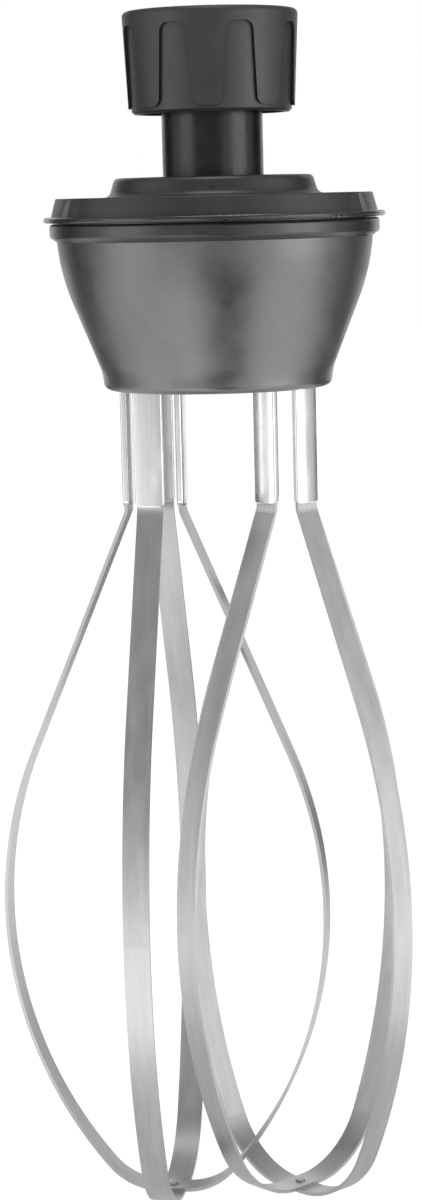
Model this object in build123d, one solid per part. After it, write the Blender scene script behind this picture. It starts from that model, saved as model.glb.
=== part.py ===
from build123d import *
from math import acos, atan2, cos, degrees, hypot, pi, radians, sin, tan
import os

# Twin whisk attachment for a stick blender.
# A collar locks the attachment to the motor unit. A central shaft drives a gear case that
# turns two whisks in opposite directions, and each whisk is two crossed loops of flat strip.
# The origin is the centre of the coupling face, +Z points up towards the motor unit and the
# whisks hang down. Lengths are in millimetres and angles in degrees.

# Coupling collar
collar_rise = 14.0
collar_height = 31.6
collar_top_radius = 27.6
collar_foot_radius = 26.1
collar_skirt_wall = 2.4
collar_top_round = 1.6
collar_foot_chamfer = 0.8
collar_bore_radius = 23.2
collar_step_rise = 1.0
collar_lip = 4.0
collar_gap = 0.3

# Grip relief of the collar: recesses open at the foot, with round-ended lobes between them
lobe_count = 8
first_recess_angle = -70.5
recess_depth = 1.0
recess_top_drop = 4.6
recess_top_width = 8.6
recess_foot_width = 11.9
recess_corner = 2.9
lobe_corner = 2.6
foot_band = 1.8

# Neck tube
neck_radius = 15.9
neck_length = 37.2
flange_radius = 21.0
flange_thickness = 4.0
flange_edge_round = 0.4
socket_radius = 12.5
socket_depth = 8.0
neck_bore = 11.0
spigot_wall = 3.0
spigot_length = 6.8
spigot_lip = 3.0
spigot_lip_bore = 6.5
seal_ring_radius = 18.0
seal_ring_section = 1.3
seal_stands_proud = 0.2

# Cover with two steps and a bead
cap_top_radius = 31.3
cap_foot_radius = 33.0
cap_height = 5.9
cap_edge_round = 1.8
cap_foot_round = 2.4
deck_taper = 1.6
deck_inset = 0.5
deck_height = 5.8
deck_edge_round = 0.5
deck_ridge_count = 6
deck_ridge_angle = -90.0
deck_ridge_width = 12.0
deck_ridge_height = 0.8
bead_step = 1.9
bead_thickness = 1.8
bead_round_share = 0.45
cover_wall = 3.0

# Gear carrier, whose rim is the band below the bead
band_step = 2.2
band_groove = 0.35
groove_depth = 1.2
band_height = 4.05
band_chamfer = 1.6
band_edge_round = 0.95
carrier_web = 4.0
web_drop = 1.9
locating_ring_height = 2.6
locating_ring_wall = 1.8
locating_ring_clearance = 0.4

# Bell housing
bell_height = 46.8
bell_shoulder_inset = 0.9
bell_shoulder_drop = 10.2
bell_shoulder_reach = 9.6
bell_waist_flare = 0.45
bell_waist_rise = 5.3
bell_waist_reach = 2.4
bell_foot_margin = 1.2
bell_foot_round = 2.5
bell_wall = 2.8
bell_floor = 4.0
hub_recess_wall = 2.2
hub_recess_roof = 3.0

# Gears: the pinion turns the wheel, and two equal gears make the whisks counter-rotate
whisk_spacing = 42.0
sync_teeth = 21
pinion_teeth = 12
wheel_teeth = 30
sync_pressure_angle = 20.0
drive_pressure_angle = 25.0
sync_width = 8.0
wheel_width = 5.0
gear_backlash = 0.16
gear_side_gap = 0.6
gear_case_gap = 3.1
gear_tip_factor = 1.0
gear_root_factor = 1.25

# Shafts, bushes and seals
drive_head_radius = 7.5
drive_head_length = 14.0
drive_head_drop = 1.0
drive_hex_flats = 8.0
drive_hex_depth = 10.0
drive_shoulder_radius = 5.0
drive_shaft_radius = 3.0
drive_bush_length = 7.0
drive_bush_wall = 2.4
spindle_radius = 4.0
upper_bush_wall = 3.0
lower_bush_wall = 4.0
lower_bush_gap = 7.6
boss_wall = 2.5
shoulder_thickness = 1.5
shoulder_overlap = 2.65
seal_height = 3.5
thrust_gap = 0.2
running_gap = 0.05
seat_gap = 0.02

# Case screws
screw_radius = 2.0
screw_spacing = 55.0
screw_head_radius = 3.6
screw_head_height = 3.0
screw_bite = 6.0
screw_boss_radius = 5.0
screw_clearance = 0.2
screw_hex_flats = 3.0
screw_hex_depth = 1.8

# Whisk hubs and sleeves
hub_radius = 11.3
hub_height = 11.5
hub_side_gap = 0.5
hub_top_gap = 0.5
hub_roof = 1.5
sleeve_offset = 8.8
sleeve_width = 9.3
sleeve_thickness = 2.9
sleeve_edge_thickness = 1.9
sleeve_edge_round = 0.6
sleeve_drop = 37.4
sleeve_end_round = 0.75
sleeve_corner_round = 2.2
sleeve_fit = 0.05

# Strip loops, measured to the middle of the strip
strip_width = 8.4
strip_thickness = 1.1
strip_bend_radius = 6.0
strip_exit_drop = 1.7
strip_end_margin = 1.0
whisk_drop = 267.0
belly_drop = 170.5
wide_reach = 53.0
wide_belly_radius = 134.0
wide_foot_radius = 21.3
narrow_reach = 48.0
narrow_belly_radius = 185.0
narrow_foot_radius = 29.0
foot_flat_margin = 0.2
left_rest_angle = -10.4
right_rest_angle = 43.0
rivet_radius = 0.9
rivet_head_radius = 1.6
rivet_head_height = 0.5
rivet_round_share = 0.7
rivet_fit = 0.05

# Levels along Z, worked out from the sizes above
collar_foot = collar_rise - collar_height
cover_top = -neck_length
deck_top = cover_top - cap_height
bead_top = deck_top - deck_height
cover_foot = bead_top - bead_thickness
band_top = cover_foot - band_groove
band_foot = band_top - band_height
bell_top = band_foot - band_chamfer
bell_foot = bell_top - bell_height
web_top = cover_foot - web_drop
web_foot = web_top - carrier_web
wheel_foot = web_top + gear_side_gap
wheel_top = wheel_foot + wheel_width
sync_top = web_foot - gear_side_gap
sync_foot = sync_top - sync_width
hub_foot = bell_foot
hub_top = hub_foot + hub_height
recess_roof_foot = hub_top + hub_top_gap
recess_roof_top = recess_roof_foot + hub_recess_roof
seal_top = recess_roof_foot + seal_height
bush_foot = seal_top + shoulder_thickness
bush_top = sync_foot - lower_bush_gap
spigot_foot = cover_top - spigot_length
drive_bush_foot = spigot_foot + spigot_lip
drive_bush_top = drive_bush_foot + drive_bush_length
drive_head_top = -socket_depth - drive_head_drop
sleeve_top = hub_top - hub_roof
sleeve_foot = bell_foot - sleeve_drop
whisk_foot = bell_foot - whisk_drop

# Gear sizes that follow from the spacing of the whisks
drive_module = whisk_spacing / (pinion_teeth + wheel_teeth)
sync_module = whisk_spacing / sync_teeth
gear_reach = whisk_spacing + gear_tip_factor * sync_module

# Radii of the case: its rim clears the gears and its foot holds the hub recesses
hub_recess_radius = hub_radius + hub_side_gap
bell_top_radius = gear_reach + gear_case_gap + bell_wall
bell_shoulder_radius = bell_top_radius - bell_shoulder_inset
bell_foot_radius = whisk_spacing / 2 + hub_recess_radius + hub_recess_wall + bell_foot_margin
bell_waist_radius = bell_foot_radius + bell_waist_flare
band_radius = bell_top_radius + band_step
bead_radius = band_radius + bead_step
deck_foot_radius = band_radius - deck_inset
deck_radius = deck_foot_radius - deck_taper
cover_bore = deck_foot_radius - cover_wall

# Radii of the inner parts
spigot_radius = neck_bore + spigot_wall
drive_bush_radius = drive_shaft_radius + running_gap + drive_bush_wall
upper_bush_radius = spindle_radius + running_gap + upper_bush_wall
lower_bush_radius = spindle_radius + running_gap + lower_bush_wall
boss_radius = lower_bush_radius + seat_gap + boss_wall
screw_offset = screw_spacing / 2
foot_half = strip_width / 2 + foot_flat_margin

left_axis = Location((-whisk_spacing / 2, 0, 0))
right_axis = Location((whisk_spacing / 2, 0, 0))
whisk_axes = {"left": left_axis, "right": right_axis}
screw_axes = {
    "front": Location((0, -screw_offset, 0)),
    "back": Location((0, screw_offset, 0)),
}


def outline(*corners):
    """Closed face through the corners, each rounded by its third value if it has one."""
    points = [corner[:2] for corner in corners]
    radii = [corner[2] if len(corner) > 2 else 0 for corner in corners]
    return make_face(FilletPolyline(*points, radius=radii, close=True))


def turned(*corners):
    """Solid of revolution about Z from corners given as radius, height and rounding."""
    return revolve(Plane.XZ * outline(*corners), Axis.Z)


def rod(radius, low, high):
    """Upright cylinder between two levels."""
    return Pos(0, 0, low) * extrude(Circle(radius), high - low)


def ring(outer_radius, inner_radius, low, high):
    """Upright tube between two levels."""
    return Pos(0, 0, low) * extrude(Circle(outer_radius) - Circle(inner_radius), high - low)


def hexagon(across_flats, low, high):
    """Upright hexagonal prism between two levels."""
    return Pos(0, 0, low) * extrude(RegularPolygon(across_flats / 2, 6, major_radius=False), high - low)


def collar_cone(inset, low, high):
    """Tapered outside of the collar, moved inwards, between two levels."""
    slope = (collar_top_radius - collar_foot_radius) / collar_height

    def radius(level):
        return collar_foot_radius + slope * (level - collar_foot) - inset

    return turned((0, low), (radius(low), low), (radius(high), high), (0, high))


def recess_cutter():
    """Prism that clears one recess and the foot band on both sides of it."""
    lobe_foot = collar_foot + foot_band
    half_pitch = collar_top_radius * tan(pi / lobe_count) + recess_depth
    top = collar_rise - recess_top_drop
    below = collar_foot - recess_depth
    face = outline(
        (-half_pitch, below),
        (-half_pitch, lobe_foot),
        (-recess_foot_width / 2, lobe_foot, lobe_corner),
        (-recess_top_width / 2, top, recess_corner),
        (recess_top_width / 2, top, recess_corner),
        (recess_foot_width / 2, lobe_foot, lobe_corner),
        (half_pitch, lobe_foot),
        (half_pitch, below),
    )
    return extrude(Plane.YZ * face, collar_top_radius + recess_depth)


def collar():
    """Coupling nut with a relief grip outside and a lip that hooks under the neck flange."""
    radius_at_foot = collar_foot_radius - recess_depth
    blank = collar_cone(0, collar_foot, collar_rise)
    blank = fillet(blank.edges().sort_by(Axis.Z)[-1], collar_top_round)
    core = collar_cone(recess_depth, collar_foot - recess_depth, collar_rise + recess_depth)
    for count in range(lobe_count):
        angle = first_recess_angle + 360 / lobe_count * count
        blank -= Rot(0, 0, angle) * recess_cutter() - core
    lip_top = -flange_thickness - collar_gap
    lip_foot = lip_top - collar_lip
    blank -= rod(collar_bore_radius, collar_step_rise, collar_rise)
    blank -= rod(flange_radius + collar_gap, lip_top, collar_step_rise)
    blank -= rod(neck_radius + collar_gap, lip_foot, lip_top)
    blank -= rod(radius_at_foot - collar_skirt_wall, collar_foot, lip_foot)
    trim = turned(
        (radius_at_foot - collar_foot_chamfer, collar_foot),
        (radius_at_foot + recess_depth, collar_foot),
        (radius_at_foot + recess_depth, collar_foot + collar_foot_chamfer + recess_depth),
    )
    return blank - trim


def neck():
    """Neck tube with the coupling flange on top and a spigot that enters the cover."""
    groove_half = seal_ring_section + seat_gap
    groove_inner = seal_ring_radius - groove_half
    groove_outer = seal_ring_radius + groove_half
    groove_floor = seal_stands_proud - seal_ring_section - groove_half
    return turned(
        (socket_radius, 0),
        (groove_inner, 0),
        (groove_inner, groove_floor),
        (groove_outer, groove_floor),
        (groove_outer, 0),
        (flange_radius, 0, flange_edge_round),
        (flange_radius, -flange_thickness, flange_edge_round),
        (neck_radius, -flange_thickness),
        (neck_radius, cover_top),
        (spigot_radius, cover_top),
        (spigot_radius, spigot_foot),
        (spigot_lip_bore, spigot_foot),
        (spigot_lip_bore, drive_bush_foot),
        (neck_bore, drive_bush_foot),
        (neck_bore, -socket_depth),
        (socket_radius, -socket_depth),
    )


def face_seal():
    """Rubber ring in the groove of the coupling face."""
    section = Pos(seal_ring_radius, seal_stands_proud - seal_ring_section) * Circle(seal_ring_section)
    return revolve(Plane.XZ * section, Axis.Z)


def deck_ridge():
    """Upright ridge of two flat facets on the wall of the deck."""
    half_angle = atan2(deck_ridge_width / 2, deck_foot_radius)
    sections = []
    for radius, level in ((deck_radius, deck_top - deck_edge_round), (deck_foot_radius, bead_top)):
        side = (radius * cos(half_angle), radius * sin(half_angle))
        corners = ((0, 0), (side[0], -side[1]), (radius + deck_ridge_height, 0), side)
        sections.append(Pos(0, 0, level) * outline(*corners))
    return loft(sections)


def cover():
    """Stepped cover with ridges on its deck, bored for the neck and tapped for the screws."""
    ceiling = cover_top - cover_wall
    deck_ceiling = deck_top - cover_wall
    cap_bore = cap_foot_radius - cover_wall
    shell = turned(
        (spigot_radius + seat_gap, cover_top),
        (cap_top_radius, cover_top, cap_edge_round),
        (cap_foot_radius, deck_top, cap_foot_round),
        (deck_radius, deck_top, deck_edge_round),
        (deck_foot_radius, bead_top),
        (bead_radius, bead_top, bead_thickness * bead_round_share),
        (bead_radius, cover_foot, bead_thickness * bead_round_share),
        (cover_bore, cover_foot),
        (cover_bore, deck_ceiling),
        (cap_bore, deck_ceiling),
        (cap_bore, ceiling),
        (spigot_radius + cover_wall, ceiling),
        (spigot_radius + cover_wall, spigot_foot),
        (spigot_radius + seat_gap, spigot_foot),
    )
    ridge = deck_ridge() - rod(cover_bore + cover_wall / 2, bead_top, deck_top)
    for count in range(deck_ridge_count):
        shell += Rot(0, 0, deck_ridge_angle + 360 / deck_ridge_count * count) * ridge
    for axis in screw_axes.values():
        shell += axis * rod(screw_boss_radius, web_top, ceiling)
        shell -= axis * rod(screw_radius + seat_gap, web_top, web_top + screw_bite)
    return shell


def carrier():
    """Gear carrier: a web with bush seats, and a rim that shows as the band under the bead."""
    ring_outer_up = cover_bore - seat_gap
    ring_outer_down = bell_top_radius - bell_wall - locating_ring_clearance
    ring_inner_down = ring_outer_down - locating_ring_wall
    body = turned(
        (0, web_top),
        (ring_outer_up - locating_ring_wall, web_top),
        (ring_outer_up - locating_ring_wall, cover_foot + locating_ring_height),
        (ring_outer_up, cover_foot + locating_ring_height),
        (ring_outer_up, cover_foot),
        (band_radius - groove_depth, cover_foot),
        (band_radius - groove_depth, band_top),
        (band_radius, band_top, band_edge_round),
        (band_radius, band_foot, band_edge_round),
        (bell_top_radius, bell_top),
        (ring_outer_down, bell_top),
        (ring_outer_down, bell_top - locating_ring_height),
        (ring_inner_down, bell_top - locating_ring_height),
        (ring_inner_down, web_foot),
        (0, web_foot),
    )
    body -= rod(drive_bush_radius + seat_gap, web_foot, web_top)
    for axis in whisk_axes.values():
        body -= axis * rod(upper_bush_radius + seat_gap, web_foot, web_top)
    for axis in screw_axes.values():
        body -= axis * rod(screw_radius + screw_clearance, web_foot, web_top)
    return body


def corner_round(before, corner, after, reach):
    """Rounding radius whose curve takes the given length of each side of a corner."""
    heading_in = atan2(corner[1] - before[1], corner[0] - before[0])
    heading_out = atan2(after[1] - corner[1], after[0] - corner[0])
    return reach / tan(abs(heading_out - heading_in) / 2)


def bell_side():
    """Rim, shoulder, waist and foot corners of the bell's side, with the shoulder's rounding."""
    rim = (bell_top_radius, bell_top)
    shoulder = (bell_shoulder_radius, bell_top - bell_shoulder_drop)
    waist = (bell_waist_radius, bell_foot + bell_waist_rise)
    foot = (bell_foot_radius, bell_foot)
    return rim, shoulder, waist, foot, corner_round(rim, shoulder, waist, bell_shoulder_reach)


def bell_outside():
    """Solid bell with a curved side and a rounded foot."""
    rim, shoulder, waist, foot, shoulder_round = bell_side()
    waist_round = corner_round(shoulder, waist, foot, bell_waist_reach)
    return turned(
        (0, bell_top),
        rim,
        (*shoulder, shoulder_round),
        (*waist, waist_round),
        (*foot, bell_foot_round),
        (0, bell_foot),
    )


def bell_inside():
    """Cavity of the bell, one wall inside its curved side, down to the floor."""
    rim, shoulder, waist, foot, shoulder_round = bell_side()
    floor = bell_foot + bell_floor
    taper = (shoulder[0] - waist[0]) / (shoulder[1] - waist[1])
    floor_radius = shoulder[0] - taper * (shoulder[1] - floor)
    return turned(
        (0, bell_top),
        (rim[0] - bell_wall, bell_top),
        (shoulder[0] - bell_wall, shoulder[1], shoulder_round),
        (floor_radius - bell_wall, floor),
        (0, floor),
    )


def bell():
    """Bell housing with a recess, seal seat and bush seat for each whisk, and screw pillars."""
    outside = bell_outside()
    fittings = []
    for axis in whisk_axes.values():
        fittings.append(axis * rod(hub_recess_radius + hub_recess_wall, bell_foot, recess_roof_top))
        fittings.append(axis * rod(boss_radius, recess_roof_top, bush_top))
    for axis in screw_axes.values():
        fittings.append(axis * rod(screw_boss_radius, bell_foot, web_foot))
    body = outside - bell_inside() + [outside & fitting for fitting in fittings]
    for axis in whisk_axes.values():
        body -= axis * rod(hub_recess_radius, bell_foot, recess_roof_foot)
        body -= axis * rod(lower_bush_radius + seat_gap, recess_roof_foot, seal_top)
        body -= axis * rod(lower_bush_radius - shoulder_overlap, seal_top, bush_foot)
        body -= axis * rod(lower_bush_radius + seat_gap, bush_foot, bush_top)
    for axis in screw_axes.values():
        body -= axis * rod(screw_radius + screw_clearance, bell_foot, web_foot)
        body -= axis * rod(screw_head_radius + screw_clearance, bell_foot, bell_foot + screw_head_height)
    return body


def case_screw():
    """Socket-head screw that clamps the bell and the carrier to the cover."""
    head_top = bell_foot + screw_head_height
    shank_top = web_top + screw_bite
    screw = rod(screw_head_radius, bell_foot, head_top) + rod(screw_radius, head_top, shank_top)
    return screw - hexagon(screw_hex_flats, bell_foot, bell_foot + screw_hex_depth)


def involute(angle):
    return tan(angle) - angle


def gear(module, teeth, pressure_angle, bore, low, high):
    """Spur gear with involute flanks and a tooth that points along +X."""
    pressure = radians(pressure_angle)
    pitch_radius = module * teeth / 2
    base_radius = pitch_radius * cos(pressure)
    tip_radius = pitch_radius + gear_tip_factor * module
    root_radius = pitch_radius - gear_root_factor * module
    flank_start = max(base_radius, root_radius)
    pitch_half_angle = pi / (2 * teeth) - gear_backlash / (4 * pitch_radius)

    def flank_point(radius, side, turn):
        pressure_here = acos(min(1, base_radius / radius))
        half_angle = pitch_half_angle + involute(pressure) - involute(pressure_here)
        angle = turn + side * half_angle
        return (radius * cos(angle), radius * sin(angle))

    def root_point(side, turn):
        start = flank_point(flank_start, side, turn)
        scale = root_radius / flank_start
        return (start[0] * scale, start[1] * scale)

    middle_radius = (flank_start + tip_radius) / 2
    edges = []
    for tooth in range(teeth):
        turn = 2 * pi * tooth / teeth
        for side in (-1, 1):
            radii = (flank_start, middle_radius, tip_radius)[::-side]
            flank = [flank_point(radius, side, turn) for radius in radii]
            edges.append(ThreePointArc(*flank))
        tip = [flank_point(tip_radius, side, turn) for side in (-1, 1)]
        edges.append(Line(*tip))
        if root_radius < flank_start:
            for side in (-1, 1):
                edges.append(Line(root_point(side, turn), flank_point(flank_start, side, turn)))
        edges.append(Line(root_point(1, turn), root_point(-1, turn + 2 * pi / teeth)))
    face = make_face(edges) - Circle(bore)
    return Pos(0, 0, low) * extrude(face, high - low)


def mesh_turn(teeth):
    """Turn that puts a tooth gap of this gear towards -X, where its mate has a tooth."""
    return Rot(0, 0, 180 + 180 / teeth)


def drive_shaft():
    """Shaft with a hexagon socket for the motor's drive and a shoulder above its bush."""
    shoulder_top = drive_head_top - drive_head_length
    shaft = rod(drive_head_radius, shoulder_top, drive_head_top)
    shaft += rod(drive_shoulder_radius, drive_bush_top + thrust_gap, shoulder_top)
    shaft += rod(drive_shaft_radius, web_foot, drive_bush_top + thrust_gap)
    return shaft - hexagon(drive_hex_flats, drive_head_top - drive_hex_depth, drive_head_top)


def spindle(top):
    """Whisk spindle from its upper gear down into the hub."""
    return rod(spindle_radius, hub_foot + hub_roof, top)


def sleeve_outline(growth):
    """Flattened tube with crowned faces square to X, grown by a clearance."""
    middle = sleeve_thickness / 2 + growth
    edge = sleeve_edge_thickness / 2 + growth
    end = sleeve_width / 2 + growth
    faces = [
        ThreePointArc((side * edge, -end), (side * middle, 0), (side * edge, end))
        for side in (-1, 1)
    ]
    ends = [Line((-edge, side * end), (edge, side * end)) for side in (-1, 1)]
    section = make_face(faces + ends)
    return Pos(sleeve_offset, 0) * fillet(section.vertices(), sleeve_edge_round + growth)


def hub():
    """Whisk hub with a seat for the spindle and four seats for the sleeves."""
    body = rod(hub_radius, hub_foot, hub_top)
    body -= rod(spindle_radius + seat_gap, hub_foot + hub_roof, hub_top)
    seat = Pos(0, 0, hub_foot) * extrude(sleeve_outline(seat_gap), sleeve_top - hub_foot)
    for quarter in range(4):
        body -= Rot(0, 0, 90 * quarter) * seat
    return body


def sleeve():
    """Flattened tube over one end of a strip, its lower end and corners rounded."""
    body = Pos(0, 0, sleeve_foot) * extrude(sleeve_outline(0), sleeve_top - sleeve_foot)
    body = fillet(body.faces().sort_by(Axis.Z)[0].edges(), sleeve_end_round)
    half = sleeve_width / 2 + sleeve_fit
    low = sleeve_foot - sleeve_fit
    high = sleeve_top + sleeve_fit
    side = outline(
        (-half, high),
        (-half, low, sleeve_corner_round),
        (half, low, sleeve_corner_round),
        (half, high),
    )
    body &= extrude(Plane.YZ * side, hub_radius)
    slot = Rectangle(strip_thickness + 2 * sleeve_fit, strip_width + 2 * sleeve_fit)
    slot_solid = extrude(Pos(sleeve_offset, 0) * slot, sleeve_top - sleeve_foot)
    return body - Pos(0, 0, sleeve_foot) * slot_solid


def loop_side(reach, belly_radius, foot_radius, foot, shift):
    """Edges of one side of a loop, from the sleeve to the middle of its foot.

    The strip leaves its sleeve straight, bends out and runs in a straight flare that is
    tangent to the upper belly arc. At its widest it passes into the lower belly arc, whose
    size follows from the tangent foot arc, and that arc ends in the flat foot.
    The shift moves the edges outwards from the middle of the strip.
    """
    belly_level = bell_foot - belly_drop
    upper = (reach - belly_radius, belly_level)
    exit_level = sleeve_foot - strip_exit_drop
    across = sleeve_offset - upper[0]
    down = exit_level - belly_level
    flare = atan2(down, across) - acos(belly_radius / hypot(across, down))
    bend = (sleeve_offset + strip_bend_radius, exit_level + strip_bend_radius * tan(flare / 2))
    bend_size = strip_bend_radius - shift
    foot_centre = (foot_half, foot + foot_radius)
    rise = belly_level - foot_centre[1]
    out = reach - foot_half
    lower_radius = (out**2 + rise**2 - foot_radius**2) / (2 * (out - foot_radius))
    lower = (reach - lower_radius, belly_level)
    foot_angle = degrees(atan2(-rise, foot_centre[0] - lower[0]))
    upper_size = belly_radius + shift
    side_x = sleeve_offset + shift
    flare_top = (bend[0] - bend_size * cos(flare), bend[1] - bend_size * sin(flare))
    flare_foot = (upper[0] + upper_size * cos(flare), upper[1] + upper_size * sin(flare))
    return [
        Line((side_x, sleeve_top - strip_end_margin), (side_x, bend[1])),
        CenterArc(bend, bend_size, 180, degrees(flare)),
        Line(flare_top, flare_foot),
        CenterArc(upper, upper_size, degrees(flare), -degrees(flare)),
        CenterArc(lower, lower_radius + shift, 0, foot_angle),
        CenterArc(foot_centre, foot_radius + shift, foot_angle, -90 - foot_angle),
        Line((foot_half, foot - shift), (0, foot - shift)),
    ]


def loop(reach, belly_radius, foot_radius, foot):
    """Closed loop of flat strip in the XZ plane, drilled at its foot for the rivet."""
    half = strip_thickness / 2
    outer = loop_side(reach, belly_radius, foot_radius, foot, half)
    inner = loop_side(reach, belly_radius, foot_radius, foot, -half)
    ends = [Line(outer[0] @ 0, inner[0] @ 0), Line(outer[-1] @ 1, inner[-1] @ 1)]
    side = make_face(outer + inner + ends)
    face = side + mirror(side, about=Plane.YZ)
    strip = extrude(Plane.XZ * face, strip_width / 2, both=True)
    return strip - rod(rivet_radius + rivet_fit, foot - strip_thickness, foot + strip_thickness)


def rivet():
    """Rivet through both strips where they cross, with a low head on each side."""
    low = whisk_foot
    high = whisk_foot + 2 * strip_thickness
    return turned(
        (0, low - rivet_head_height),
        (rivet_head_radius, low - rivet_head_height, rivet_head_height * rivet_round_share),
        (rivet_head_radius, low),
        (rivet_radius, low),
        (rivet_radius, high),
        (rivet_head_radius, high),
        (rivet_head_radius, high + rivet_head_height, rivet_head_height * rivet_round_share),
        (0, high + rivet_head_height),
    )


def whisk(side, upper_loop, lower_loop, rest_angle):
    """Hub, sleeves, crossed loops and rivet of one whisk, turned to its rest angle."""
    place = whisk_axes[side] * Rot(0, 0, rest_angle)
    lower_foot = whisk_foot + strip_thickness / 2
    upper_foot = lower_foot + strip_thickness
    nodes = {
        f"{side}_hub": place * hub(),
        f"{side}_upper_loop": place * loop(*upper_loop, upper_foot),
        f"{side}_lower_loop": place * Rot(0, 0, 90) * loop(*lower_loop, lower_foot),
        f"{side}_rivet": place * rivet(),
    }
    for quarter in range(4):
        nodes[f"{side}_sleeve_{quarter + 1}"] = place * Rot(0, 0, 90 * quarter) * sleeve()
    return nodes


def bearings(side):
    """Bushes and lip seal of one whisk spindle."""
    axis = whisk_axes[side]
    bore = spindle_radius + running_gap
    return {
        f"{side}_upper_bush": axis * ring(upper_bush_radius, bore, web_foot, web_top),
        f"{side}_lower_bush": axis * ring(lower_bush_radius, bore, bush_foot, bush_top),
        f"{side}_shaft_seal": axis * ring(lower_bush_radius, bore, recess_roof_foot, seal_top),
    }


def gear_train():
    """Pinion on the drive shaft, wheel on the left spindle and the two equal gears."""
    pinion = gear(drive_module, pinion_teeth, drive_pressure_angle,
                  drive_shaft_radius + seat_gap, wheel_foot, wheel_top)
    wheel = gear(drive_module, wheel_teeth, drive_pressure_angle,
                 spindle_radius + seat_gap, wheel_foot, wheel_top)
    sync = gear(sync_module, sync_teeth, sync_pressure_angle,
                spindle_radius + seat_gap, sync_foot, sync_top)
    return {
        "drive_pinion": mesh_turn(pinion_teeth) * pinion,
        "left_wheel": left_axis * wheel,
        "left_sync_gear": left_axis * sync,
        "right_sync_gear": right_axis * mesh_turn(sync_teeth) * sync,
    }


wide_loop = (wide_reach, wide_belly_radius, wide_foot_radius)
narrow_loop = (narrow_reach, narrow_belly_radius, narrow_foot_radius)

nodes = {
    "coupling_collar": collar(),
    "neck_tube": neck(),
    "face_seal": face_seal(),
    "cover": cover(),
    "gear_carrier": carrier(),
    "bell_housing": bell(),
    "drive_shaft": drive_shaft(),
    "drive_upper_bush": ring(neck_bore - seat_gap, drive_shaft_radius + running_gap,
                             drive_bush_foot, drive_bush_top),
    "drive_lower_bush": ring(drive_bush_radius, drive_shaft_radius + running_gap, web_foot, web_top),
    "left_spindle": left_axis * spindle(wheel_top),
    "right_spindle": right_axis * spindle(web_top),
}
nodes.update(gear_train())
for side in whisk_axes:
    nodes.update(bearings(side))
for name, axis in screw_axes.items():
    nodes[f"{name}_case_screw"] = axis * case_screw()
nodes.update(whisk("left", wide_loop, narrow_loop, left_rest_angle))
nodes.update(whisk("right", narrow_loop, narrow_loop, right_rest_angle))

os.makedirs("parts", exist_ok=True)
for name, solid in nodes.items():
    export_step(solid, f"parts/{name}.step")
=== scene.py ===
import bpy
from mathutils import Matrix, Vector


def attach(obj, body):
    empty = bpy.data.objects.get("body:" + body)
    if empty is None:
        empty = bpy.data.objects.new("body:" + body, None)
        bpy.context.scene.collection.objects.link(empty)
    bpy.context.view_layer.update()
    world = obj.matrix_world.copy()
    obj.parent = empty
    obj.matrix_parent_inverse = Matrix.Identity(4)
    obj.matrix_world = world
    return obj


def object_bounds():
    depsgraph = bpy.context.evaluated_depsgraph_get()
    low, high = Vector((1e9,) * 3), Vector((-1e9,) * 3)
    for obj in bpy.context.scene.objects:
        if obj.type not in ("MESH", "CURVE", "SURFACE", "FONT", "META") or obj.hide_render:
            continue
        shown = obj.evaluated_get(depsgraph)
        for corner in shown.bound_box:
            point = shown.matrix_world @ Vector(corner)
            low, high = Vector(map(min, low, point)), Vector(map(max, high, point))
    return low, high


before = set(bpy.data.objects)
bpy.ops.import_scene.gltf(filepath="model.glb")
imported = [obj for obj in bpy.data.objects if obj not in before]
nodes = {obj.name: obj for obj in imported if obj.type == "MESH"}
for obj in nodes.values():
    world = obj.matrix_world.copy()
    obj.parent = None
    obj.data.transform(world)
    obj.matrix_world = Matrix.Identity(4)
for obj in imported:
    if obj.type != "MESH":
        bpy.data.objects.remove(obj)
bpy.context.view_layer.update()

from math import cos, pi, radians, sin

import bmesh
import bpy
from mathutils import Matrix, Vector

MM = 0.001
WHITE = (1.0, 1.0, 1.0, 1.0)
scene = bpy.context.scene

# Whisks: distance of each axis from the middle, and the turns of their loops in degrees
WHISK_X = 21 * MM
LEFT_TURN = -10.4
RIGHT_TURN = 43.0

# Bead of the cover: height of its middle, half its thickness and its polish
BEAD_Z = -49.8 * MM
BEAD_HALF = 1.0 * MM
BEAD_ROUGHNESS = 0.20

# Moulded plastic: width of the painted shade line in an inner corner, and the tone at its bottom
CREASE_SHADE_REACH = 2.0 * MM
CREASE_SHADE_TONE = 0.35

# Bell paint: painted shade, lighter below this height and darker above it, by this much a metre
PAINT_SHADE_Z = -80 * MM
PAINT_SHADE_RATE = 3.5


def linked(obj):
    """Add an object to the scene."""
    scene.collection.objects.link(obj)
    return obj


def look_at(obj, target, roll=0.0):
    """Turn a camera or lamp so that it faces the target, rolled by some degrees."""
    away = Vector(obj.location) - Vector(target)
    facing = away.to_track_quat("Z", "Y").to_matrix()
    obj.rotation_euler = (facing @ Matrix.Rotation(radians(roll), 3, "Z")).to_euler()


def grey(level, warm=0.0):
    """Neutral linear grey, moved a little to warm or cool."""
    return (level * (1 + warm), level, level * (1 - warm))


def shade(colour, share):
    """A colour made darker or lighter."""
    return tuple(min(1.0, part * share) for part in colour)


# Materials

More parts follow.
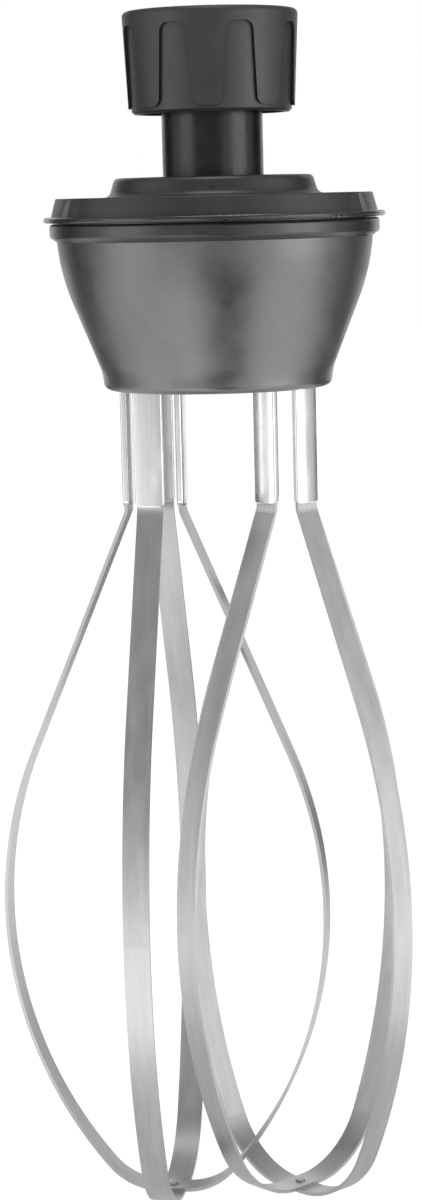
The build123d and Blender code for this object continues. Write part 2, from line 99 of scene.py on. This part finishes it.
class Shader:
    """A Principled material and short calls for the nodes that drive it."""

    def __init__(self, name, base, roughness, metallic=0.0, specular=0.5):
        self.material = bpy.data.materials.new(name)
        self.material.use_nodes = True
        self.tree = self.material.node_tree
        self.principled = self.tree.nodes["Principled BSDF"]
        settings = {
            "Base Color": (*base, 1.0),
            "Roughness": roughness,
            "Metallic": metallic,
            "Specular IOR Level": specular,
        }
        for socket, value in settings.items():
            self.principled.inputs[socket].default_value = value
        self.coordinates = self.node("ShaderNodeTexCoord").outputs["Object"]

    def node(self, kind, **values):
        """A new node: each value goes to the property or the input of its name."""
        made = self.tree.nodes.new(kind)
        for key, value in values.items():
            if hasattr(made, key):
                setattr(made, key, value)
            else:
                made.inputs[key].default_value = value
        return made

    def link(self, output, target):
        self.tree.links.new(output, target)

    def feed(self, output, socket):
        """Drive an input of the Principled shader."""
        self.link(output, self.principled.inputs[socket])

    def mapped(self, size, place=(0, 0, 0), turn=0.0):
        """Object coordinates seen from a place and turn, each axis divided by its size."""
        sizes = (size,) * 3 if isinstance(size, float) else size
        mapping = self.node("ShaderNodeMapping", vector_type="TEXTURE")
        mapping.inputs["Location"].default_value = place
        mapping.inputs["Rotation"].default_value = (0, 0, radians(turn))
        mapping.inputs["Scale"].default_value = sizes
        self.link(self.coordinates, mapping.inputs["Vector"])
        return mapping.outputs["Vector"]

    def noise(self, size, detail, rough=0.5, place=(0, 0, 0), turn=0.0):
        """Noise with spots of one size, or of its own size along each axis."""
        made = self.node("ShaderNodeTexNoise", Scale=1.0, Detail=detail, Roughness=rough)
        self.link(self.mapped(size, place, turn), made.inputs["Vector"])
        return made.outputs["Fac"]

    def flakes(self, size):
        """Distance from the middle of the nearest flake."""
        made = self.node("ShaderNodeTexVoronoi", Scale=1.0)
        self.link(self.mapped(size), made.inputs["Vector"])
        return made.outputs["Distance"]

    def height(self):
        """Z of the object coordinates."""
        axes = self.node("ShaderNodeSeparateXYZ")
        self.link(self.coordinates, axes.inputs["Vector"])
        return axes.outputs["Z"]

    def math(self, operation, *operands):
        """A sum or other operation on numbers and outputs."""
        made = self.node("ShaderNodeMath", operation=operation)
        for socket, value in zip(made.inputs, operands):
            if isinstance(value, (int, float)):
                socket.default_value = value
            else:
                self.link(value, socket)
        return made.outputs["Value"]

    def blend(self, first, second, share):
        """Sum of two values: the first has the share and the second the rest."""
        first_part = self.math("MULTIPLY", first, share)
        second_part = self.math("MULTIPLY", second, 1 - share)
        return self.math("ADD", first_part, second_part)

    def spread(self, value, low, high, start=0.3, end=0.7):
        """Remap a texture value from start..end to low..high."""
        made = self.node("ShaderNodeMapRange")
        limits = {"From Min": start, "From Max": end, "To Min": low, "To Max": high}
        for socket, number in limits.items():
            made.inputs[socket].default_value = number
        self.link(value, made.inputs["Value"])
        return made.outputs["Result"]

    def vary_colour(self, value, low, high, start=0.3, end=0.7):
        """Base colour that goes from low to high as a texture value goes from start to end."""
        made = self.node("ShaderNodeMix", data_type="RGBA")
        first, second = [socket for socket in made.inputs if socket.type == "RGBA"]
        first.default_value = (*low, 1.0)
        second.default_value = (*high, 1.0)
        self.link(self.spread(value, 0, 1, start, end), made.inputs[0])
        output = next(socket for socket in made.outputs if socket.type == "RGBA")
        self.feed(output, "Base Color")

    def vary_roughness(self, value, low, high):
        """Roughness that goes from low to high with a texture value."""
        self.feed(self.spread(value, low, high), "Roughness")

    def paint_crease_shade(self, reach):
        """Darken the base colour in inner corners by ambient occlusion: painted shade."""
        source = self.principled.inputs["Base Color"].links[0].from_socket
        corner = self.node("ShaderNodeAmbientOcclusion", Distance=reach, samples=8, only_local=True)
        tone = self.spread(corner.outputs["AO"], low=CREASE_SHADE_TONE, high=1.0, start=0.5, end=0.97)
        scaled = self.node("ShaderNodeVectorMath", operation="SCALE")
        self.link(source, scaled.inputs["Vector"])
        self.link(tone, scaled.inputs["Scale"])
        self.feed(scaled.outputs["Vector"], "Base Color")

    def bump(self, height, strength, depth):
        made = self.node("ShaderNodeBump", Strength=strength, Distance=depth)
        self.link(height, made.inputs["Height"])
        self.feed(made.outputs["Normal"], "Normal")


def moulded_plastic(name, level, roughness, specular, crease_shade=None, polished=None):
    """Moulded plastic with a fine sparked texture and faint handling marks.

    polished is a band round the piece: height of its middle, half its thickness, roughness.
    """
    colour = grey(level)
    shader = Shader(name, colour, roughness, specular=specular)
    fine = shader.noise(0.35 * MM, detail=3.0, rough=0.6)
    cloud = shader.noise(14 * MM, detail=3.0, rough=0.6)
    mixed = shader.blend(fine, cloud, share=0.4)
    shader.vary_colour(mixed, shade(colour, 0.86), shade(colour, 1.16), start=0.35, end=0.65)
    wear = shader.spread(cloud, roughness - 0.07, roughness + 0.07)
    if polished:
        middle, half, smooth = polished
        offset = shader.math("ABSOLUTE", shader.math("SUBTRACT", shader.height(), middle))
        inside = shader.math("LESS_THAN", offset, half)
        polish = shader.math("MULTIPLY", inside, roughness - smooth)
        wear = shader.math("SUBTRACT", wear, polish)
    shader.feed(wear, "Roughness")
    shader.bump(fine, strength=0.25, depth=0.05 * MM)
    # Painted shade: the base colour darkens in inner corners by ambient occlusion.
    if crease_shade:
        shader.paint_crease_shade(crease_shade)
    return shader.material


def gloss_plastic(name, level, roughness):
    """Smooth dark plastic with faint wiping marks."""
    colour = grey(level)
    shader = Shader(name, colour, roughness, specular=0.60)
    cloud = shader.noise((5 * MM, 5 * MM, 9 * MM), detail=4.0, rough=0.6)
    fine = shader.noise(0.5 * MM, detail=2.0)
    shader.vary_colour(cloud, shade(colour, 0.75), shade(colour, 1.35))
    shader.vary_roughness(cloud, roughness - 0.06, roughness + 0.10)
    shader.bump(fine, strength=0.08, depth=0.03 * MM)
    return shader.material


def metallic_paint(name, level, roughness):
    """Satin grey paint with metal flakes under a thin lacquer."""
    colour = grey(level)
    shader = Shader(name, colour, roughness, metallic=0.8, specular=0.35)
    flakes = shader.flakes(0.28 * MM)
    cloud = shader.noise(16 * MM, detail=4.0, rough=0.6)
    mixed = shader.blend(flakes, cloud, share=0.35)
    # Painted shade: the base colour darkens above a set height and lightens below it.
    depth = shader.math("SUBTRACT", PAINT_SHADE_Z, shader.height())
    shaded_tone = shader.math("ADD", mixed, shader.math("MULTIPLY", depth, PAINT_SHADE_RATE))
    shader.vary_colour(shaded_tone, shade(colour, 0.84), shade(colour, 1.18))
    shader.vary_roughness(cloud, roughness - 0.06, roughness + 0.08)
    peel = shader.noise(0.9 * MM, detail=2.0)
    shader.bump(peel, strength=0.12, depth=0.03 * MM)
    return shader.material


def brushed_steel(name, level, roughness, place, turn):
    """Steel strip brushed along its length: the grain varies only across the strip."""
    across, along = 0.22 * MM, 45 * MM
    coarse_size = (along, across, along)
    fine_size = (along / 3, across / 3, along / 3)
    cloud_size = (12 * MM, 5 * MM, 18 * MM)
    shader = Shader(name, grey(level, warm=0.01), roughness, metallic=1.0)
    grain = shader.noise(coarse_size, detail=5.0, rough=0.65, place=place, turn=turn)
    fine = shader.noise(fine_size, detail=2.0, place=place, turn=turn)
    cloud = shader.noise(cloud_size, detail=4.0, rough=0.6, place=place, turn=turn)
    tone = shader.blend(grain, cloud, share=0.55)
    dark = grey(level * 0.86, warm=0.015)
    light = grey(level * 1.14)
    shader.vary_colour(tone, dark, light, start=0.35, end=0.65)
    shader.vary_roughness(tone, roughness - 0.06, roughness + 0.08)
    shader.bump(fine, strength=0.10, depth=0.02 * MM)
    return shader.material


def drawn_steel(name, level, roughness):
    """Polished steel with faint upright drawing lines."""
    colour = grey(level)
    shader = Shader(name, colour, roughness, metallic=1.0)
    lines = shader.noise((0.18 * MM, 0.18 * MM, 30 * MM), detail=4.0, rough=0.6)
    cloud = shader.noise((6 * MM, 6 * MM, 12 * MM), detail=3.0)
    shader.vary_colour(lines, shade(colour, 0.90), shade(colour, 1.06))
    shader.vary_roughness(cloud, roughness - 0.04, roughness + 0.08)
    shader.bump(lines, strength=0.02, depth=0.02 * MM)
    return shader.material


def turned_metal(name, colour, roughness):
    """Turned metal with fine rings left by the tool."""
    shader = Shader(name, colour, roughness, metallic=1.0)
    rings = shader.noise((40 * MM, 40 * MM, 0.16 * MM), detail=3.0)
    cloud = shader.noise(4 * MM, detail=3.0)
    shader.vary_colour(cloud, shade(colour, 0.82), shade(colour, 1.12))
    shader.vary_roughness(rings, roughness - 0.06, roughness + 0.10)
    shader.bump(rings, strength=0.10, depth=0.02 * MM)
    return shader.material


def rubber(name, level):
    """Dull rubber with a dusty bloom."""
    colour = grey(level)
    shader = Shader(name, colour, roughness=0.75, specular=0.3)
    fine = shader.noise(0.4 * MM, detail=3.0)
    cloud = shader.noise(3 * MM, detail=3.0)
    shader.vary_colour(cloud, shade(colour, 0.8), shade(colour, 1.3))
    shader.vary_roughness(cloud, 0.68, 0.84)
    shader.bump(fine, strength=0.2, depth=0.04 * MM)
    return shader.material


collar_plastic = moulded_plastic(
    "collar_plastic", level=0.038, roughness=0.48, specular=0.75, crease_shade=CREASE_SHADE_REACH
)
cover_plastic = moulded_plastic(
    "cover_plastic", level=0.035, roughness=0.38, specular=0.80, crease_shade=CREASE_SHADE_REACH,
    polished=(BEAD_Z, BEAD_HALF, BEAD_ROUGHNESS),
)
band_plastic = moulded_plastic("band_plastic", level=0.029, roughness=0.32, specular=0.9)

# Material of each node, by its name or by a word of its name
finishes = {
    "coupling_collar": collar_plastic,
    "cover": cover_plastic,
    "gear_carrier": band_plastic,
    "neck_tube": gloss_plastic("neck_plastic", level=0.003, roughness=0.27),
    "bell_housing": metallic_paint("bell_paint", level=0.205, roughness=0.36),
    "face_seal": rubber("seal_rubber", level=0.012),
    "seal": rubber("lip_seal_rubber", level=0.015),
    "bush": turned_metal("bush_bronze", (0.52, 0.36, 0.18), roughness=0.35),
    "gear": turned_metal("gear_steel", grey(0.42), roughness=0.36),
    "pinion": turned_metal("pinion_steel", grey(0.42), roughness=0.36),
    "wheel": turned_metal("wheel_steel", grey(0.42), roughness=0.36),
    "shaft": turned_metal("shaft_steel", grey(0.46), roughness=0.30),
    "spindle": turned_metal("spindle_steel", grey(0.48), roughness=0.26),
    "hub": turned_metal("hub_steel", grey(0.50), roughness=0.28),
    "screw": turned_metal("screw_steel", grey(0.30), roughness=0.34),
    "rivet": turned_metal("rivet_steel", grey(0.40), roughness=0.30),
    "sleeve": drawn_steel("sleeve_steel", level=0.82, roughness=0.22),
}
for side, x, side_turn in (("left", -WHISK_X, LEFT_TURN), ("right", WHISK_X, RIGHT_TURN)):
    for loop, loop_turn in (("upper", 0), ("lower", 90)):
        name = f"{side}_{loop}_loop"
        finishes[name] = brushed_steel(
            f"{name}_steel", level=0.58, roughness=0.38, place=(x, 0, 0), turn=side_turn + loop_turn
        )


def finish_of(name):
    """Material of a node: by its whole name, or by the last word of it that has one."""
    if name in finishes:
        return finishes[name]
    last_word = next(word for word in reversed(name.split("_")) if word in finishes)
    return finishes[last_word]


for name, node in nodes.items():
    node.data.materials.clear()
    node.data.materials.append(finish_of(name))

# Thread inside the collar: a helical ridge above the neck flange
THREAD_TURNS = 2.6
THREAD_PITCH = 3.6 * MM
THREAD_ROOT = 23.3 * MM
THREAD_DEPTH = 1.0 * MM
THREAD_HALF_ROOT = 1.15 * MM
THREAD_HALF_CREST = 0.35 * MM
THREAD_FOOT = 2.6 * MM
THREAD_STEPS = 96
THREAD_FADE_STEPS = 18


def thread_section(step, last):
    """Points of the ridge's trapezium at a step of the helix, flat at both ends."""
    angle = 2 * pi * step / THREAD_STEPS
    level = THREAD_FOOT + THREAD_PITCH * step / THREAD_STEPS
    fade = min(1.0, step / THREAD_FADE_STEPS, (last - step) / THREAD_FADE_STEPS)
    crest = THREAD_ROOT - THREAD_DEPTH * fade
    profile = (
        (THREAD_ROOT, -THREAD_HALF_ROOT),
        (crest, -THREAD_HALF_CREST),
        (crest, THREAD_HALF_CREST),
        (THREAD_ROOT, THREAD_HALF_ROOT),
    )
    return [(radius * cos(angle), radius * sin(angle), level + z) for radius, z in profile]


def collar_thread():
    """Trapezium ridge on a helix, fading out at both ends."""
    mesh = bmesh.new()
    last = int(THREAD_TURNS * THREAD_STEPS)
    rows = []
    for step in range(last + 1):
        rows.append([mesh.verts.new(point) for point in thread_section(step, last)])
    for before, after in zip(rows, rows[1:]):
        for corner in range(len(before)):
            other = (corner + 1) % len(before)
            mesh.faces.new((before[corner], before[other], after[other], after[corner]))
    mesh.faces.new(rows[0])
    mesh.faces.new(list(reversed(rows[-1])))
    bmesh.ops.recalc_face_normals(mesh, faces=mesh.faces)
    data = bpy.data.meshes.new("collar_thread")
    mesh.to_mesh(data)
    mesh.free()
    return linked(bpy.data.objects.new("collar_thread", data))


thread = collar_thread()
thread.data.materials.append(collar_plastic)
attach(thread, "collar")

# Camera: the photograph's height, distance, pitch and roll
CAMERA_PLACE = (-4.0 * MM, -870 * MM, -43.3 * MM)
CAMERA_TARGET = (-4.0 * MM, 0.0, -172.2 * MM)
CAMERA_ROLL = -1.4
CAMERA_LENS = 81.81
CAMERA_NEAR = 10 * MM
SENSOR_HEIGHT = 36.0

camera_data = bpy.data.cameras.new("camera")
camera_data.sensor_fit = "VERTICAL"
camera_data.sensor_height = SENSOR_HEIGHT
camera_data.lens = CAMERA_LENS
camera_data.clip_start = CAMERA_NEAR
camera = linked(bpy.data.objects.new("camera", camera_data))
camera.location = CAMERA_PLACE
look_at(camera, CAMERA_TARGET, CAMERA_ROLL)
scene.camera = camera


# Studio

def empty_tree(owner):
    """Node tree of a material or a world, with its nodes removed."""
    owner.use_nodes = True
    owner.node_tree.nodes.clear()
    return owner.node_tree


def add_node(tree, kind, **values):
    """A new node with the values of its inputs."""
    made = tree.nodes.new(kind)
    for key, value in values.items():
        made.inputs[key].default_value = value
    return made


def seen_directly(tree):
    """1 for a camera, glossy or transmission ray, else 0."""
    path = tree.nodes.new("ShaderNodeLightPath")
    total = path.outputs["Is Camera Ray"]
    for other in ("Is Glossy Ray", "Is Transmission Ray"):
        larger = tree.nodes.new("ShaderNodeMath")
        larger.operation = "MAXIMUM"
        tree.links.new(total, larger.inputs[0])
        tree.links.new(path.outputs[other], larger.inputs[1])
        total = larger.outputs["Value"]
    return total


def choose_by_ray(tree, otherwise, direct):
    """The direct shader for camera, glossy and transmission rays, and the other for the rest."""
    chosen = add_node(tree, "ShaderNodeMixShader")
    tree.links.new(seen_directly(tree), chosen.inputs[0])
    tree.links.new(otherwise.outputs[0], chosen.inputs[1])
    tree.links.new(direct.outputs[0], chosen.inputs[2])
    return chosen


# World: plain ambient light on the object, and a white background for the camera and metal
AMBIENT = 0.42

world = bpy.data.worlds.new("studio")
scene.world = world
sky = empty_tree(world)
ambient = add_node(sky, "ShaderNodeBackground", Color=WHITE, Strength=AMBIENT)
background = add_node(sky, "ShaderNodeBackground", Color=WHITE, Strength=1.0)
chosen_sky = choose_by_ray(sky, ambient, background)
sky_output = add_node(sky, "ShaderNodeOutputWorld")
sky.links.new(chosen_sky.outputs[0], sky_output.inputs[0])

# Floor: it glows white for the camera, and its diffuse share keeps the object's shadow
FLOOR_SIZE = 12.0
FLOOR_GAP = 0.3 * MM
FLOOR_BOUNCE = (0.80, 0.80, 0.80, 1.0)
FLOOR_SHADOW = (0.36, 0.36, 0.36, 1.0)
FLOOR_GLOW = 0.90

floor_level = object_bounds()[0][2] - FLOOR_GAP


def plane(name, width, depth):
    """A flat rectangle about the origin."""
    data = bpy.data.meshes.new(name)
    x, y = width / 2, depth / 2
    data.from_pydata([(-x, -y, 0), (x, -y, 0), (x, y, 0), (-x, y, 0)], [], [(0, 1, 2, 3)])
    return linked(bpy.data.objects.new(name, data))


def floor_paint():
    """Pale paint: plain for soft light, and glowing white for the camera and metal."""
    paint = bpy.data.materials.new("floor_paint")
    tree = empty_tree(paint)
    bounce = add_node(tree, "ShaderNodeBsdfDiffuse", Color=FLOOR_BOUNCE)
    shadow = add_node(tree, "ShaderNodeBsdfDiffuse", Color=FLOOR_SHADOW)
    glow = add_node(tree, "ShaderNodeEmission", Color=WHITE, Strength=FLOOR_GLOW)
    white = add_node(tree, "ShaderNodeAddShader")
    tree.links.new(shadow.outputs[0], white.inputs[0])
    tree.links.new(glow.outputs[0], white.inputs[1])
    chosen = choose_by_ray(tree, bounce, white)
    surface = add_node(tree, "ShaderNodeOutputMaterial")
    tree.links.new(chosen.outputs[0], surface.inputs[0])
    return paint


floor = plane("floor", FLOOR_SIZE, FLOOR_SIZE)
floor.location = (0, 0, floor_level)
floor.data.materials.append(floor_paint())

# Lamps: two large soft boxes at the sides and one overhead.
# Each has a place, a width and height, a power and a tint.
LAMP_TARGET = (0, 0, -160 * MM)
LAMPS = (
    ("right_box", (1.05, -0.55, -0.03), (0.70, 0.70), 2.8, (0.985, 0.965, 1.0)),
    ("left_box", (-1.05, -0.55, -0.03), (0.65, 0.70), 1.0, (1.0, 1.0, 0.975)),
    ("top_box", (0.0, -0.25, 1.10), (0.60, 0.60), 3.0, (1.0, 1.0, 1.0)),
)
for name, place, (width, height), power, tint in LAMPS:
    lamp = bpy.data.lights.new(name, "AREA")
    lamp.shape = "RECTANGLE"
    lamp.size = width
    lamp.size_y = height
    lamp.energy = power
    lamp.color = tint
    holder = linked(bpy.data.objects.new(name, lamp))
    holder.location = place
    look_at(holder, LAMP_TARGET)

# Glowing grey walls, ceiling and floor cards of the studio, which only glossy surfaces show and
# which light nothing: painted reflections
WALL_DISTANCE = 1.45
WALL_TOP = 1.62
CEILING_HEIGHT = 1.25
CEILING_SIZE = (6.0, 6.0)
CEILING_TONE = 0.42
CARD_STEP = 0.05 * MM
CARD_LEVEL = floor_level + CARD_STEP
UPRIGHT = 90
FLAT = 0
# Each wall: azimuth from the camera's side, width, tone, and gap between it and the floor
WALLS = (
    ("front_wall", -11, 1.88, 0.31, 0.17),
    ("left_wall", -92, 0.62, 0.66, 0.0),
    ("right_wall", 92, 0.62, 0.60, 0.0),
    ("left_rear_wall", -123, 1.00, 0.08, 0.0),
    ("right_rear_wall", 123, 1.00, 0.08, 0.0),
)
# Each card on the floor, from the lowest up: place, turn, size and tone
FLOOR_CARDS = (
    ("front_floor_card", (0.06, -0.80), 0, (0.40, 1.20), 0.01),
    ("left_floor_card", (-0.76, 0.64), 40, (1.20, 0.90), 0.08),
    ("right_floor_card", (0.72, 0.60), -40, (1.20, 0.90), 0.06),
    ("left_floor_light", (-0.42, -0.24), -30, (0.50, 0.35), 1.35),
    ("right_floor_light", (0.42, -0.24), 30, (0.50, 0.35), 1.50),
    ("foot_card", (0.0, 0.0), 0, (0.34, 0.20), 0.64),
    ("front_floor_light", (-0.15, -0.34), -20, (0.18, 0.44), 1.60),
)


def reflection_glow(name, tone):
    """Glow of one tone, whatever the light: a painted reflection."""
    paint = bpy.data.materials.new(f"{name}_paint")
    tree = empty_tree(paint)
    glow = add_node(tree, "ShaderNodeEmission", Strength=tone)
    surface = add_node(tree, "ShaderNodeOutputMaterial")
    tree.links.new(glow.outputs[0], surface.inputs[0])
    return paint


def studio_card(name, place, tip, turn, size, tone):
    """A glowing card that only glossy rays see, tipped and turned by some degrees: a painted
    reflection.
    """
    card = plane(name, *size)
    card.location = place
    card.rotation_euler = (radians(tip), 0, radians(turn))
    card.data.materials.append(reflection_glow(name, tone))
    card.visible_camera = False
    card.visible_diffuse = False
    card.visible_shadow = False
    card.visible_transmission = False


for name, azimuth, width, tone, gap in WALLS:
    angle = radians(azimuth)
    middle = CARD_LEVEL + (WALL_TOP + gap) / 2
    place = (WALL_DISTANCE * sin(angle), -WALL_DISTANCE * cos(angle), middle)
    studio_card(name, place, UPRIGHT, azimuth, (width, WALL_TOP - gap), tone)
for count, (name, (x, y), turn, size, tone) in enumerate(FLOOR_CARDS):
    studio_card(name, (x, y, CARD_LEVEL + count * CARD_STEP), FLAT, turn, size, tone)
studio_card("ceiling", (0, 0, CEILING_HEIGHT), FLAT, 0, CEILING_SIZE, CEILING_TONE)

scene.view_settings.view_transform = "Standard"
